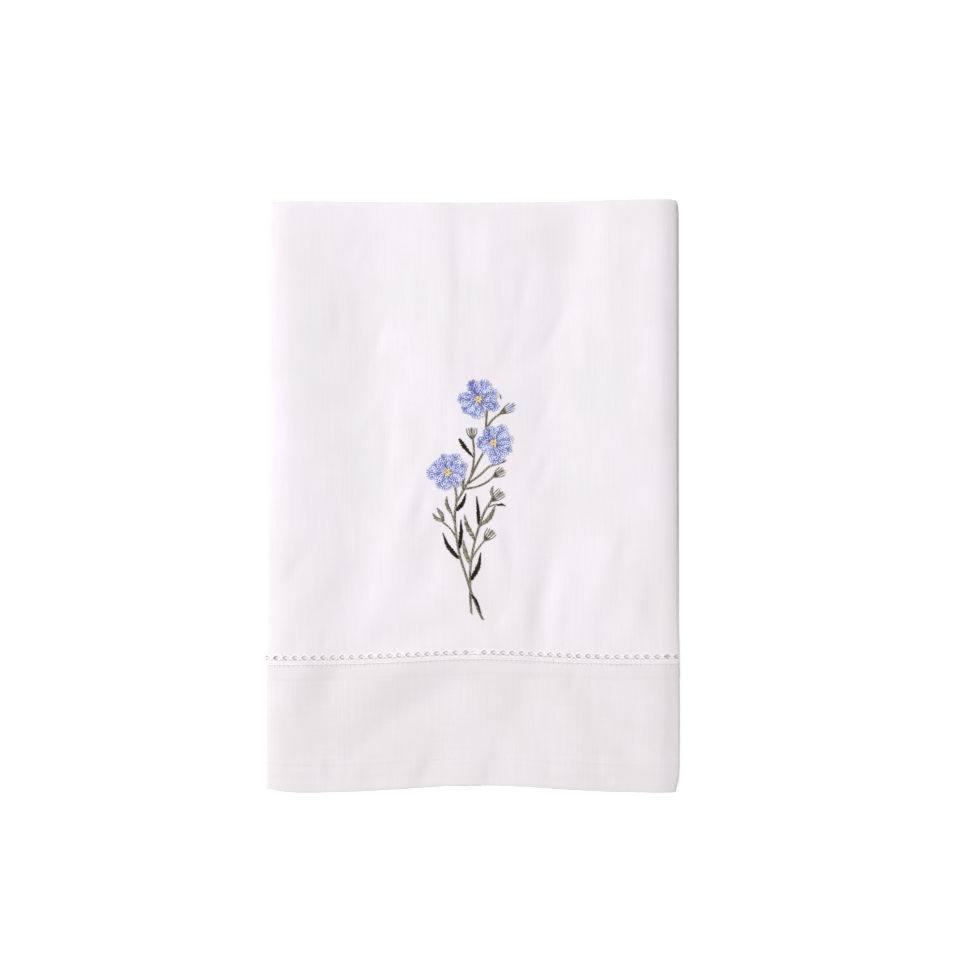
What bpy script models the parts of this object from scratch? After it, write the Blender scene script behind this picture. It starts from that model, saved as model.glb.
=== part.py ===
"""A white linen hand towel with a deep hemstitched hem, folded flat.

The towel is one cut of cloth, so it is one solid. Both long sides are folded back until
they nearly meet, and the strip is then folded in half with its plain end underneath.
That leaves four layers, a little apart: the front panel, its two side flaps, the flaps
of the back panel, and the back panel, which lies flat on what the towel rests on.

Every point of the cloth is known by where it lies on the flat cut: `across` runs from
side to side with 0 on the centre line, and `along` runs from the deep hem's edge to the
plain end. The folds are worked out from those two numbers.
"""

import math
from collections import namedtuple

import bmesh
import bpy

MM = 0.001

# The finished cloth, laid out flat.
CLOTH_WIDTH = 354 * MM
CLOTH_LENGTH = 508 * MM
HEM_DEPTH = 54.6 * MM
END_HEM_DEPTH = 5.2 * MM

# The folded towel, as it lies.
PANEL_WIDTH = 178.1 * MM
FOLDED_LENGTH = 256.4 * MM
BACK_SLIP = 1.3 * MM

# The sheet. A hem is the same cloth turned over on itself.
CLOTH_THICKNESS = 1.0 * MM
HEM_THICKNESS = 1.4 * MM
LAYER_GAP = 0.5 * MM
HEM_STEP = 0.8 * MM

# The front panel is full in the middle and rolls down to its side folds.
CROWN_HEIGHT = 2.6 * MM
CROWN_SHOULDER = 11 * MM
EDGE_DROOP = 0.8 * MM
DROOP_LENGTH = 9 * MM
END_HEM_RIDE = 0.7 * MM
RIDE_SLOPE = 3 * MM

# How finely the sheet is divided.
PANEL_STEPS = 22
SHOULDER_STEPS = 4
SIDE_FOLD_STEPS = 6
FLAP_STEPS = 8
FLAP_SHOULDER_STEPS = 2
RIDE_STEPS = 4
HEM_STEPS = 5
FRONT_STEPS = 23
TOP_FOLD_STEPS = 8
BACK_STEPS = 8

LAYER_SPACING = CLOTH_THICKNESS + LAYER_GAP
SIDE_FOLD_RADIUS = LAYER_SPACING / 2
PANEL_HALF = PANEL_WIDTH / 2 - SIDE_FOLD_RADIUS - CLOTH_THICKNESS / 2
SIDE_FOLD_LENGTH = math.pi * SIDE_FOLD_RADIUS
TOP_FOLD_RADIUS = 1.5 * LAYER_SPACING
TOP_FOLD_LENGTH = math.pi * TOP_FOLD_RADIUS
TOP_Y = FOLDED_LENGTH / 2
BOTTOM_Y = -FOLDED_LENGTH / 2
FRONT_LENGTH = FOLDED_LENGTH - TOP_FOLD_RADIUS - CLOTH_THICKNESS / 2
BACK_START = FRONT_LENGTH + TOP_FOLD_LENGTH
END_HEM_LOW_Y = BOTTOM_Y + FRONT_LENGTH - (CLOTH_LENGTH - BACK_START)
END_HEM_HIGH_Y = END_HEM_LOW_Y + END_HEM_DEPTH + HEM_STEP

# Soft ridges (+) and troughs (-) of the front panel: the middle of each, how far it
# reaches along and across itself, how far its length is turned from the X axis, and
# its height.
Wave = namedtuple("Wave", "x y reach half_width turn height")
WAVES = (
    Wave(-77 * MM, 40 * MM, 120 * MM, 10 * MM, 90, 0.62 * MM),
    Wave(-43 * MM, 62 * MM, 66 * MM, 14 * MM, 88, -1.15 * MM),
    Wave(-47 * MM, -34 * MM, 46 * MM, 14 * MM, 86, -0.86 * MM),
    Wave(-10 * MM, 82 * MM, 70 * MM, 9 * MM, 93, 0.56 * MM),
    Wave(8 * MM, 100 * MM, 50 * MM, 9 * MM, 90, 0.42 * MM),
    Wave(41 * MM, 92 * MM, 48 * MM, 10 * MM, 84, -0.98 * MM),
    Wave(26 * MM, 60 * MM, 20 * MM, 6 * MM, 28, -0.36 * MM),
    Wave(38 * MM, 15 * MM, 46 * MM, 10 * MM, 100, -0.52 * MM),
    Wave(65 * MM, 60 * MM, 90 * MM, 12 * MM, 90, 0.56 * MM),
    Wave(-27 * MM, -6 * MM, 22 * MM, 5.5 * MM, 66, 0.50 * MM),
    Wave(-16 * MM, -24 * MM, 24 * MM, 6 * MM, 70, -0.50 * MM),
    Wave(-68 * MM, -42 * MM, 20 * MM, 7 * MM, 50, 0.50 * MM),
    Wave(-40 * MM, -48 * MM, 24 * MM, 7 * MM, 64, 0.44 * MM),
    Wave(-24 * MM, -60 * MM, 26 * MM, 6 * MM, 14, -0.44 * MM),
    Wave(12 * MM, -24 * MM, 16 * MM, 5 * MM, 96, 0.40 * MM),
    Wave(22 * MM, -54 * MM, 10 * MM, 5 * MM, 90, 0.44 * MM),
    Wave(33 * MM, -42 * MM, 24 * MM, 5.5 * MM, 82, -0.80 * MM),
    Wave(56 * MM, -38 * MM, 22 * MM, 7 * MM, 74, 0.44 * MM),
    Wave(71 * MM, -50 * MM, 16 * MM, 5 * MM, 84, 0.36 * MM),
    Wave(80 * MM, -50 * MM, 18 * MM, 5 * MM, 88, -0.40 * MM),
    Wave(-73 * MM, -77 * MM, 13 * MM, 6.5 * MM, 58, 0.56 * MM),
    Wave(-62 * MM, -84 * MM, 13 * MM, 6.5 * MM, 58, -0.60 * MM),
    Wave(-33 * MM, -76 * MM, 20 * MM, 7.5 * MM, 20, 0.80 * MM),
    Wave(-25 * MM, -92 * MM, 20 * MM, 7.5 * MM, 24, -0.86 * MM),
    Wave(-47 * MM, -108 * MM, 13 * MM, 5.5 * MM, 42, -0.44 * MM),
    Wave(22 * MM, -90 * MM, 16 * MM, 9 * MM, 60, -0.42 * MM),
    Wave(46 * MM, -98 * MM, 34 * MM, 9 * MM, 84, 0.30 * MM),
    Wave(-14 * MM, -117 * MM, 9 * MM, 6 * MM, 76, -0.40 * MM),
    Wave(12 * MM, -118 * MM, 9 * MM, 5 * MM, 80, -0.36 * MM),
)

# Where the folded outline leaves a plain rectangle: which layers a pull moves, its
# middle, how far it reaches, and how far it moves the cloth.
Pull = namedtuple("Pull", "layers x y reach_x reach_y move_x move_y")
PULLS = (
    Pull("front", 4 * MM, BOTTOM_Y, 42 * MM, 110 * MM, 0, 2.8 * MM),
    Pull("both", -4 * MM, TOP_Y, 62 * MM, 50 * MM, 0, -1.2 * MM),
    Pull("front", -91 * MM, BOTTOM_Y, 9 * MM, 22 * MM, 0, 1.9 * MM),
    Pull("both", -89 * MM, TOP_Y, 16 * MM, 7 * MM, 2.4 * MM, -0.6 * MM),
    Pull("both", 91 * MM, TOP_Y, 5 * MM, 4 * MM, -0.6 * MM, -0.8 * MM),
)


def smooth(share):
    """A ramp from 0 to 1 that starts and ends level."""
    share = min(1.0, max(0.0, share))
    return share * share * (3 - 2 * share)


def thickness(along):
    """The cloth's thickness, which grows over the hem at either end."""
    deep_hem = 1 - smooth((along - HEM_DEPTH + HEM_STEP / 2) / HEM_STEP)
    end_hem = smooth((along - CLOTH_LENGTH + END_HEM_DEPTH + HEM_STEP / 2) / HEM_STEP)
    return CLOTH_THICKNESS + (HEM_THICKNESS - CLOTH_THICKNESS) * max(deep_hem, end_hem)


def lift(x, y):
    """How far the front panel rises above its flattest lie at a point of the folded towel."""
    from_fold = PANEL_HALF - min(abs(x), PANEL_HALF)
    from_side = math.hypot(from_fold, PANEL_WIDTH / 2 - PANEL_HALF)
    from_hem_edge = y - BOTTOM_Y
    down_the_roll = min(1.0, max(0.0, 1 - from_side / CROWN_SHOULDER))
    shoulder = math.sqrt(1 - down_the_roll ** 2)
    waves = CROWN_HEIGHT
    for wave in WAVES:
        turn = math.radians(wave.turn)
        run = (x - wave.x) * math.cos(turn) + (y - wave.y) * math.sin(turn)
        off = (y - wave.y) * math.cos(turn) - (x - wave.x) * math.sin(turn)
        waves += wave.height * math.exp(-((run / wave.reach) ** 2) - (off / wave.half_width) ** 2)
    droop = EDGE_DROOP * (1 - smooth(from_hem_edge / DROOP_LENGTH))
    return shoulder * (waves - droop)


def ride(y):
    """How far the front panel is held up where the plain end's narrow hem lies under it."""
    below = smooth((y - END_HEM_LOW_Y + RIDE_SLOPE) / RIDE_SLOPE)
    above = smooth((END_HEM_HIGH_Y + RIDE_SLOPE - y) / RIDE_SLOPE)
    return END_HEM_RIDE * min(below, above)


def pulled(x, y, layer):
    """How far a layer's cloth has shifted, within the towel's plane, from a plain rectangle."""
    move_x = move_y = 0.0
    for pull in PULLS:
        if pull.layers not in (layer, "both"):
            continue
        share = math.exp(-(((x - pull.x) / pull.reach_x) ** 2) - ((y - pull.y) / pull.reach_y) ** 2)
        move_x += pull.move_x * share
        move_y += pull.move_y * share
    return move_x, move_y


def side_folded(across, along):
    """(x, depth below the panel) of the cloth once its sides are folded back."""
    spacing = thickness(along) + LAYER_GAP
    side = math.copysign(1, across)
    past = abs(across) - PANEL_HALF
    if past <= 0:
        return across, 0.0
    if past < SIDE_FOLD_LENGTH:
        turn = math.pi * past / SIDE_FOLD_LENGTH
        return side * (PANEL_HALF + SIDE_FOLD_RADIUS * math.sin(turn)), spacing / 2 * (1 - math.cos(turn))
    return side * (PANEL_HALF - past + SIDE_FOLD_LENGTH), spacing


def folded(across, along):
    """The place of a point of the flat cloth in the folded towel, on the sheet's mid-surface."""
    x, depth = side_folded(across, along)
    swell = thickness(along) - CLOTH_THICKNESS
    rest = CLOTH_THICKNESS / 2
    if along >= BACK_START:
        back_y = BOTTOM_Y + FRONT_LENGTH - (along - BACK_START)
        move_x, move_y = pulled(x, back_y, "back")
        return x + BACK_SLIP / 2 + move_x, back_y + move_y, rest + swell / 2 + depth
    front_y = BOTTOM_Y + min(along, FRONT_LENGTH)
    move_x, move_y = pulled(x, front_y, "front")
    front_z = rest + 2 * TOP_FOLD_RADIUS + 1.5 * swell + ride(front_y + move_y) + lift(x, front_y)
    if along <= FRONT_LENGTH:
        return x - BACK_SLIP / 2 + move_x, front_y + move_y, front_z - depth
    turn = math.pi * (along - FRONT_LENGTH) / TOP_FOLD_LENGTH
    radius = (front_z - rest) / 2
    return (
        x - BACK_SLIP / 2 * math.cos(turn) + move_x,
        front_y + move_y + (TOP_FOLD_RADIUS - depth) * math.sin(turn),
        rest + radius + (radius - depth) * math.cos(turn),
    )


def evenly(start, end, steps):
    """Places from start up to, but not including, end."""
    return [start + (end - start) * step / steps for step in range(steps)]


def across_places():
    """Where the sheet is divided from side to side: flap, fold, shoulder, panel and back again."""
    edge = CLOTH_WIDTH / 2
    bend = PANEL_HALF + SIDE_FOLD_LENGTH
    level = PANEL_WIDTH / 2 - CROWN_SHOULDER
    flap_level = bend + PANEL_HALF - level
    return (
        evenly(-edge, -flap_level, FLAP_STEPS)
        + evenly(-flap_level, -bend, FLAP_SHOULDER_STEPS)
        + evenly(-bend, -PANEL_HALF, SIDE_FOLD_STEPS)
        + evenly(-PANEL_HALF, -level, SHOULDER_STEPS)
        + evenly(-level, level, PANEL_STEPS)
        + evenly(level, PANEL_HALF, SHOULDER_STEPS)
        + evenly(PANEL_HALF, bend, SIDE_FOLD_STEPS)
        + evenly(bend, flap_level, FLAP_SHOULDER_STEPS)
        + evenly(flap_level, edge, FLAP_STEPS)
        + [edge]
    )


def along_places():
    """Where the sheet is divided from the deep hem's edge to the plain end."""
    ride_start = END_HEM_LOW_Y - RIDE_SLOPE - BOTTOM_Y
    ride_end = END_HEM_HIGH_Y + RIDE_SLOPE - BOTTOM_Y
    hem_top = HEM_DEPTH - HEM_STEP / 2
    body_start = HEM_DEPTH + HEM_STEP / 2
    end_hem = CLOTH_LENGTH - END_HEM_DEPTH - HEM_STEP / 2
    return (
        [0]
        + evenly(ride_start, ride_end, RIDE_STEPS)
        + evenly(ride_end, hem_top, HEM_STEPS)
        + [hem_top]
        + evenly(body_start, FRONT_LENGTH, FRONT_STEPS)
        + evenly(FRONT_LENGTH, BACK_START, TOP_FOLD_STEPS)
        + evenly(BACK_START, end_hem, BACK_STEPS)
        + [end_hem, end_hem + HEM_STEP, CLOTH_LENGTH]
    )


def linen_material():
    """White linen with a faint warm pink in it, matt as cloth is."""
    material = bpy.data.materials.new("white_linen")
    material.use_nodes = True
    shader = material.node_tree.nodes["Principled BSDF"]
    shader.inputs["Base Color"].default_value = (0.86, 0.83, 0.85, 1)
    shader.inputs["Roughness"].default_value = 0.9
    shader.inputs["Metallic"].default_value = 0.0
    return material


def make_towel():
    """The folded sheet: a grid laid out flat, folded, then given its thickness."""
    columns, rows = across_places(), along_places()
    mesh = bpy.data.meshes.new("towel")
    grid = bmesh.new()
    bmesh.ops.create_grid(grid, x_segments=len(columns) - 1, y_segments=len(rows) - 1, size=0.5)
    grid.verts.ensure_lookup_table()
    shares = []
    for vertex in grid.verts:
        across = columns[round((vertex.co.x + 0.5) * (len(columns) - 1))]
        along = rows[round((vertex.co.y + 0.5) * (len(rows) - 1))]
        vertex.co = folded(across, along)
        shares.append(thickness(along) / HEM_THICKNESS)
    grid.to_mesh(mesh)
    grid.free()

    towel = bpy.data.objects.new("towel", mesh)
    bpy.context.scene.collection.objects.link(towel)
    group = towel.vertex_groups.new(name="thickness")
    for index, share in enumerate(shares):
        group.add([index], share, "REPLACE")
    solidify = towel.modifiers.new("thickness", "SOLIDIFY")
    solidify.thickness = HEM_THICKNESS
    solidify.offset = 0
    solidify.vertex_group = group.name
    solidify.use_rim = True
    mesh.materials.append(linen_material())
    mesh.shade_smooth()
    mesh.set_sharp_from_angle(angle=math.radians(50))
    return towel


def main():
    for old in list(bpy.data.objects):
        bpy.data.objects.remove(old)
    make_towel()


main()
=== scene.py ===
# %% [markdown]
# A white linen hand towel, folded flat, with a deep hemstitched hem and a sprig of blue
# flowers worked on its front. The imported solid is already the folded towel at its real
# size. This script dresses it: a thin sheet of linen laid on the solid's folds, the open
# hemstitching, and the embroidery, stitch by stitch.

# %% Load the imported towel
import math
import random
from collections import namedtuple

import bmesh
import bpy
import numpy as np
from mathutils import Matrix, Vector


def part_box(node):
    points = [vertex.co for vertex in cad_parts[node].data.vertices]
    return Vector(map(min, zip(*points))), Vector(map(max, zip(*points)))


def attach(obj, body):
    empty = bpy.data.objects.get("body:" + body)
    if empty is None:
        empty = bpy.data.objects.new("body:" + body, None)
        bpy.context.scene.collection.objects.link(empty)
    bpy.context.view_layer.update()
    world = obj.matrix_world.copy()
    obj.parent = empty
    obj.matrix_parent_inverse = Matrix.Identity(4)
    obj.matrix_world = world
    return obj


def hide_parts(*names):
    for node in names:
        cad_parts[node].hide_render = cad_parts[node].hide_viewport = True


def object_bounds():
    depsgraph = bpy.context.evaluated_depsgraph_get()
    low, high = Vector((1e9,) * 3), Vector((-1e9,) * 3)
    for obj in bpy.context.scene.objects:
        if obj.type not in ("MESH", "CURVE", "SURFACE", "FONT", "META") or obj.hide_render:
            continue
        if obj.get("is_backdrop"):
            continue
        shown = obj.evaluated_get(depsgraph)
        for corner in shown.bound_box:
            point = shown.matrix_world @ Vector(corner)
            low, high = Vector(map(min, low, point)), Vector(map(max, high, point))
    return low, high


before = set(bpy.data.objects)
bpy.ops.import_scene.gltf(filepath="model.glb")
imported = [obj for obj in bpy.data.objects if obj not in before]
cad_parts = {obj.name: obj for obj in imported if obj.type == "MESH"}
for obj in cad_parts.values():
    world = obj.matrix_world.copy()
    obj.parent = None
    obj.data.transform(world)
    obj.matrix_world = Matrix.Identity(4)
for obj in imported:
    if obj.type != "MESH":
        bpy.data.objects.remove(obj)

MM = 0.001
cad_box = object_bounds()
solid_low, solid_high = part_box("towel")
print("the solid's size in mm:", [round((b - a) / MM, 1) for a, b in zip(solid_low, solid_high)])

# %% [markdown]
# The towel is one cut of cloth, so everything on it is placed on the flat cut and then
# folded. `across` runs from side to side with 0 on the centre line, and `along` from the
# deep hem's edge to the plain end. A cloth simulation could fold it, but a folded towel
# is pressed flat and even, and a few measured folds give that more surely. These are the
# same sizes as the solid's, with the sheet lying in the solid's outer skin.

# %% The sizes of the cloth and of its folds
CLOTH_WIDTH = 354 * MM
CLOTH_LENGTH = 508 * MM
CLOTH_THICKNESS = 0.42 * MM
PANEL_WIDTH = 178.1 * MM
FOLDED_LENGTH = 256.4 * MM
BACK_SLIP = 1.3 * MM

HEM_DEPTH = 54.6 * MM
END_HEM_DEPTH = 5.2 * MM
SIDE_HEM_DEPTH = 5 * MM
HEM_STEP = 0.8 * MM
TURNED_IN = 8.2 * MM

SOLID_THICKNESS = 1.0 * MM
HEM_SWELL = 0.4 * MM
LAYER_GAP = 0.5 * MM
NARROW_HEM_THICKNESS = 1.1 * MM

TOP_Y = FOLDED_LENGTH / 2
BOTTOM_Y = -FOLDED_LENGTH / 2
PANEL_HALF = PANEL_WIDTH / 2 - SOLID_THICKNESS - LAYER_GAP / 2
FLAP_DROP = 2 * SOLID_THICKNESS + LAYER_GAP - CLOTH_THICKNESS
FLAP_DROP_PRESSED = 0.6 * MM
OPEN_FOLD_DROP = 0.8 * MM
OPEN_FADES = 9 * MM
FLAP_EASE = 1.018
HEM_DROP_PRESSED = 2.5 * MM
PRESSED_FROM_FOLD = 2.5 * MM
SIDE_FOLD_LENGTH = math.pi * FLAP_DROP / 2
TOP_FOLD_RADIUS = 2 * SOLID_THICKNESS + 1.5 * LAYER_GAP - CLOTH_THICKNESS / 2
TOP_FOLD_LENGTH = math.pi * TOP_FOLD_RADIUS
FRONT_LENGTH = FOLDED_LENGTH - TOP_FOLD_RADIUS - CLOTH_THICKNESS / 2
BACK_START = FRONT_LENGTH + TOP_FOLD_LENGTH
END_HEM_LOW_Y = BOTTOM_Y + FRONT_LENGTH - (CLOTH_LENGTH - BACK_START)
END_HEM_HIGH_Y = END_HEM_LOW_Y + END_HEM_DEPTH + HEM_STEP
print("flap drop", round(FLAP_DROP / MM, 2), "mm, top fold radius", round(TOP_FOLD_RADIUS / MM, 2), "mm")

# %% [markdown]
# Pressed linen is never quite flat. The broad waves are those of the solid, which the thin
# sheet takes more sharply. The creases are finer, and are placed where the cloth shows
# one, up to the high shoulder along the right edge. A row is in millimetres: the middle of
# the wave, how far it reaches along and across itself, how many degrees its length is
# turned from the X axis, and its height.

# %% The waves and creases of the front panel
Wave = namedtuple("Wave", "x y reach half_width turn height")
WAVES = [Wave(*row) for row in (
    (-77, 40, 120, 10, 90, 0.62), (-43, 62, 66, 14, 88, -1.15), (-47, -34, 46, 14, 86, -0.86),
    (-10, 82, 70, 9, 93, 0.56), (8, 100, 50, 9, 90, 0.42), (41, 92, 48, 10, 84, -0.98),
    (26, 60, 20, 6, 28, -0.36), (38, 15, 46, 10, 100, -0.52), (65, 60, 90, 12, 90, 0.56),
    (-27, -6, 22, 5.5, 66, 0.5), (-16, -24, 24, 6, 70, -0.5), (-68, -42, 20, 7, 50, 0.5),
    (-40, -48, 24, 7, 64, 0.44), (-24, -60, 26, 6, 14, -0.44), (12, -24, 16, 5, 96, 0.4),
    (22, -54, 10, 5, 90, 0.44), (33, -42, 24, 5.5, 82, -0.8), (56, -38, 22, 7, 74, 0.44),
    (71, -50, 16, 5, 84, 0.36), (80, -50, 18, 5, 88, -0.4), (-73, -77, 13, 6.5, 58, 0.56),
    (-62, -84, 13, 6.5, 58, -0.6), (-33, -76, 20, 7.5, 20, 0.8), (-25, -92, 20, 7.5, 24, -0.86),
    (-47, -108, 13, 5.5, 42, -0.44), (22, -90, 16, 9, 60, -0.42), (46, -98, 34, 9, 84, 0.3),
    (-14, -117, 9, 6, 76, -0.4), (12, -118, 9, 5, 80, -0.36),
)]
CREASES = [Wave(*row) for row in (
    (-46.5, 107, 6, 1.4, 64, 0.26), (-57, 76, 9, 2, 90, -0.28), (-40, 66, 9, 2.4, 72, -0.32),
    (-35.5, 24, 13, 2.4, 84, -0.4), (-44, 34, 8, 2.6, 56, 0.2), (-5.5, 98, 28, 1.8, 91, -0.3),
    (-6.5, 58, 14, 2.2, 96, -0.22), (24, 90, 12, 3, 80, -0.38), (37, 72, 12, 2.2, 62, -0.3),
    (17, 63, 8, 2.4, 66, -0.3), (31.5, 9, 10, 2, 66, -0.3), (31.5, 34, 10, 1.8, 72, -0.2),
    (-21, -4, 10, 2.4, 80, -0.36), (-54, -17, 8, 2.2, 96, -0.26), (-76, -32, 8, 2.2, 56, -0.28),
    (17, -22, 10, 2.4, 94, -0.28), (16, -56, 4.5, 2.6, 90, 0.3), (42, -54, 9, 1.8, 88, -0.22),
    (66, -24, 9, 2.4, 74, -0.26), (-30, -66, 8, 2, 24, -0.2), (-62, -62, 8, 2.4, 60, -0.2),
    (44, -80, 5, 1.6, 80, -0.26), (20, -82, 8, 2.6, 12, -0.16), (-60, -118, 7, 1.8, 88, -0.22),
    (-20, -120, 6, 2.2, 70, -0.28), (8, -121, 5, 1.8, 84, -0.24), (34, -120, 6, 1.8, 84, -0.2),
    (-15, 30, 14, 2, 86, 0.14), (-24, 92, 12, 2.4, 92, 0.14), (0, 112, 14, 1.8, 90, 0.16),
    (57, 112, 10, 2.2, 88, 0.22), (49, 70, 22, 2.6, 92, 0.16), (79, 66, 80, 9, 90, 0.95),
    (61, 86, 40, 6, 90, 0.22), (0, 108, 22, 4.5, 91, -0.28), (31, -44, 16, 4, 84, -0.22),
    (-47, -86, 6, 11, 90, 0.34), (-12, -85, 6, 9, 90, -0.4), (84, 66, 80, 4, 90, 0.3),
    (91, -104, 40, 6.5, 90, -1.6),
)]
CROWN_HEIGHT = 2.6 * MM
CROWN_SHOULDER = 11 * MM
WAVE_GAIN = 1.38
EDGE_DROOP = 0.4 * MM
DROOP_LENGTH = 4 * MM
END_HEM_RIDE = 0.25 * MM
RIDE_SLOPE = 1.4 * MM


def smooth(share):
    """A ramp from 0 to 1 that starts and ends level."""
    share = np.clip(share, 0, 1)
    return share * share * (3 - 2 * share)


def waves_at(waves, x, y):
    """The height of a table of waves at places on the folded towel."""
    height = np.zeros_like(x)
    for wave in waves:
        turn = math.radians(wave.turn)
        from_x, from_y = x - wave.x * MM, y - wave.y * MM
        run = from_x * math.cos(turn) + from_y * math.sin(turn)
        off = from_y * math.cos(turn) - from_x * math.sin(turn)
        fall = (run / (wave.reach * MM)) ** 2 + (off / (wave.half_width * MM)) ** 2
        height += wave.height * MM * np.exp(-fall)
    return height


def lift(x, y):
    """How far the front panel rises above its flattest lie."""
    from_shoulder = np.clip(1 - (PANEL_WIDTH / 2 - abs(x)) / CROWN_SHOULDER, 0, 1)
    shoulder = np.sqrt(1 - from_shoulder ** 2)
    droop = EDGE_DROOP * (1 - smooth((y - BOTTOM_Y) / DROOP_LENGTH))
    below = smooth((y - END_HEM_LOW_Y + RIDE_SLOPE) / RIDE_SLOPE)
    above = smooth((END_HEM_HIGH_Y + RIDE_SLOPE - y) / RIDE_SLOPE)
    ride = END_HEM_RIDE * np.minimum(below, above)
    return shoulder * (CROWN_HEIGHT + WAVE_GAIN * waves_at(WAVES + CREASES, x, y) - droop) + ride


# %% [markdown]
# A folded edge is never ruled straight either. Each pull moves the cloth a little within
# the towel's own plane: the hem's edge is bowed up in the middle, the top fold dips, the
# top corners are rounded off, and the right edge swells out. A pull moves the front
# layers, the back ones or both. A row is in millimetres.

# %% The pulls in the outline
Pull = namedtuple("Pull", "layers x y reach_x reach_y move_x move_y")
TOP, BOTTOM = TOP_Y / MM, BOTTOM_Y / MM
PULLS = [Pull(*row) for row in (
    ("front", 4, BOTTOM, 42, 110, 0, 3.3), ("both", -4, TOP, 62, 50, 0, -0.9),
    ("front", -91, BOTTOM, 9, 22, 0, 1.9), ("both", -89, TOP, 16, 7, 1.2, -0.3),
    ("both", 84, TOP, 30, 24, 0, 0.8), ("both", 91, TOP, 5, 4, -0.6, -0.8),
    ("both", 92, 0, 25, 400, 0.5, 0), ("back", 92, BOTTOM, 36, 40, -0.3, -2.0),
    ("front", 92, BOTTOM + 30, 22, 60, 1.7, 0), ("front", 92, BOTTOM, 9, 4, -1.6, 0),
    ("front", 84, BOTTOM + 57, 26, 30, 0, 0.55),
)]


def pulled(x, y, layer):
    """How far a layer's cloth has shifted, within the towel's plane."""
    move_x, move_y = np.zeros_like(x), np.zeros_like(x)
    for pull in PULLS:
        if pull.layers in (layer, "both"):
            off_x, off_y = x / MM - pull.x, y / MM - pull.y
            share = MM * np.exp(-((off_x / pull.reach_x) ** 2) - (off_y / pull.reach_y) ** 2)
            move_x += pull.move_x * share
            move_y += pull.move_y * share
    return move_x, move_y


# %% [markdown]
# Folding is done in two turns. The first turns the sides back round the side folds, and
# gives every point its place from side to side and its depth below the panel. The second
# turns the whole strip over the top fold. The side folds are pressed flatter where the
# openwork crosses them. `out` is how far a point stands out from the sheet towards its
# face, so threads, stitches and the turned-up hem fold with the cloth.

# %% Fold any point of the flat cloth
OPEN_LOW = 56.8 * MM
OPEN_HIGH = 58.7 * MM
CLOSING = 1.75 * MM
CLOSING_REACH = 40 * MM
HEM_SLOPE = 1.7 * MM


def deep_hem_share(along):
    """1 on the deep hem, falling to 0 by the openwork."""
    return 1 - smooth((along - OPEN_LOW + HEM_SLOPE) / HEM_SLOPE)


def end_hem_share(along):
    """1 on the plain end's narrow hem and 0 off it."""
    return smooth((along - CLOTH_LENGTH + END_HEM_DEPTH + HEM_STEP / 2) / HEM_STEP)


def relaxed(across, along):
    """Where a place of the cloth lies along it: the flaps' openwork has closed up."""
    on_flap = smooth((abs(across) - PANEL_HALF) / SIDE_FOLD_LENGTH)
    into_open = np.clip((along - OPEN_LOW) / (OPEN_HIGH - OPEN_LOW), 0, 1)
    fading = np.exp(-np.maximum(along - OPEN_HIGH, 0) / CLOSING_REACH)
    return along - CLOSING * into_open * fading * on_flap


def side_folded(across, along, out):
    """(x, depth below the panel) of the cloth once its sides are folded back."""
    past = abs(across) - PANEL_HALF
    on_hem, on_end = deep_hem_share(along), end_hem_share(along)
    by_open = (1 - on_hem) * np.exp(-((np.maximum(along - OPEN_HIGH, 0) / OPEN_FADES) ** 2))
    loose = FLAP_DROP + 2 * HEM_SWELL * np.maximum(on_hem, on_end)
    loose = loose + (OPEN_FOLD_DROP - loose) * by_open
    pressed = FLAP_DROP_PRESSED + (HEM_DROP_PRESSED - FLAP_DROP_PRESSED) * on_hem
    drop = loose + (pressed - loose) * smooth((past - SIDE_FOLD_LENGTH) / PRESSED_FROM_FOLD)
    turn = np.pi * np.clip(past / SIDE_FOLD_LENGTH, 0, 1)
    reach = np.minimum(abs(across), PANEL_HALF) - FLAP_EASE * np.maximum(past - SIDE_FOLD_LENGTH, 0)
    tucked = (NARROW_HEM_THICKNESS - CLOTH_THICKNESS) / 2 * on_end
    x = np.sign(across) * (reach + (FLAP_DROP / 2 + out - tucked) * np.sin(turn))
    return x, drop / 2 * (1 - np.cos(turn)) - out * np.cos(turn)


def cloth_points(across, along, out=0.0):
    """The places in the folded towel of points of the flat cloth, as rows of x, y, z."""
    across, along, out = np.broadcast_arrays(across, along, out)
    along = relaxed(across, along)
    x, depth = side_folded(across, along, out)
    end_swell = (NARROW_HEM_THICKNESS - CLOTH_THICKNESS) * end_hem_share(along)
    rest = CLOTH_THICKNESS / 2 + end_swell / 2

    front_y = BOTTOM_Y + np.minimum(along, FRONT_LENGTH)
    front_move_x, front_move_y = pulled(x, front_y, "front")
    flat_z = rest + 2 * TOP_FOLD_RADIUS + 2 * HEM_SWELL * deep_hem_share(along)
    front_z = flat_z + lift(x, front_y + front_move_y)
    back_y = BOTTOM_Y + FRONT_LENGTH - (along - BACK_START)
    back_move_x, back_move_y = pulled(x, back_y, "back")

    turn = np.pi * np.clip((along - FRONT_LENGTH) / TOP_FOLD_LENGTH, 0, 1)
    radius = (front_z - rest) / 2
    on_back = along >= BACK_START
    return np.stack([
        np.where(on_back, x + BACK_SLIP / 2 + back_move_x,
                 x - BACK_SLIP / 2 * np.cos(turn) + front_move_x),
        np.where(on_back, back_y + back_move_y,
                 front_y + front_move_y + (TOP_FOLD_RADIUS - depth) * np.sin(turn)),
        np.where(on_back, rest + depth, rest + radius + (radius - depth) * np.cos(turn)),
    ], axis=-1)


corner = cloth_points(0, 0)
print("the hem edge's middle lies at, in mm:", [round(float(value) / MM, 2) for value in corner])

# %% [markdown]
# The deep hem is the same cloth, folded up behind the front and turned in at its raw
# edge. So the cut runs on past the hem's edge: round the bottom fold, up behind the hem
# to the openwork, and in again between the two. That gives the hem its real three layers
# and its round bottom edge, which a thick slab with a step would not have.

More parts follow.
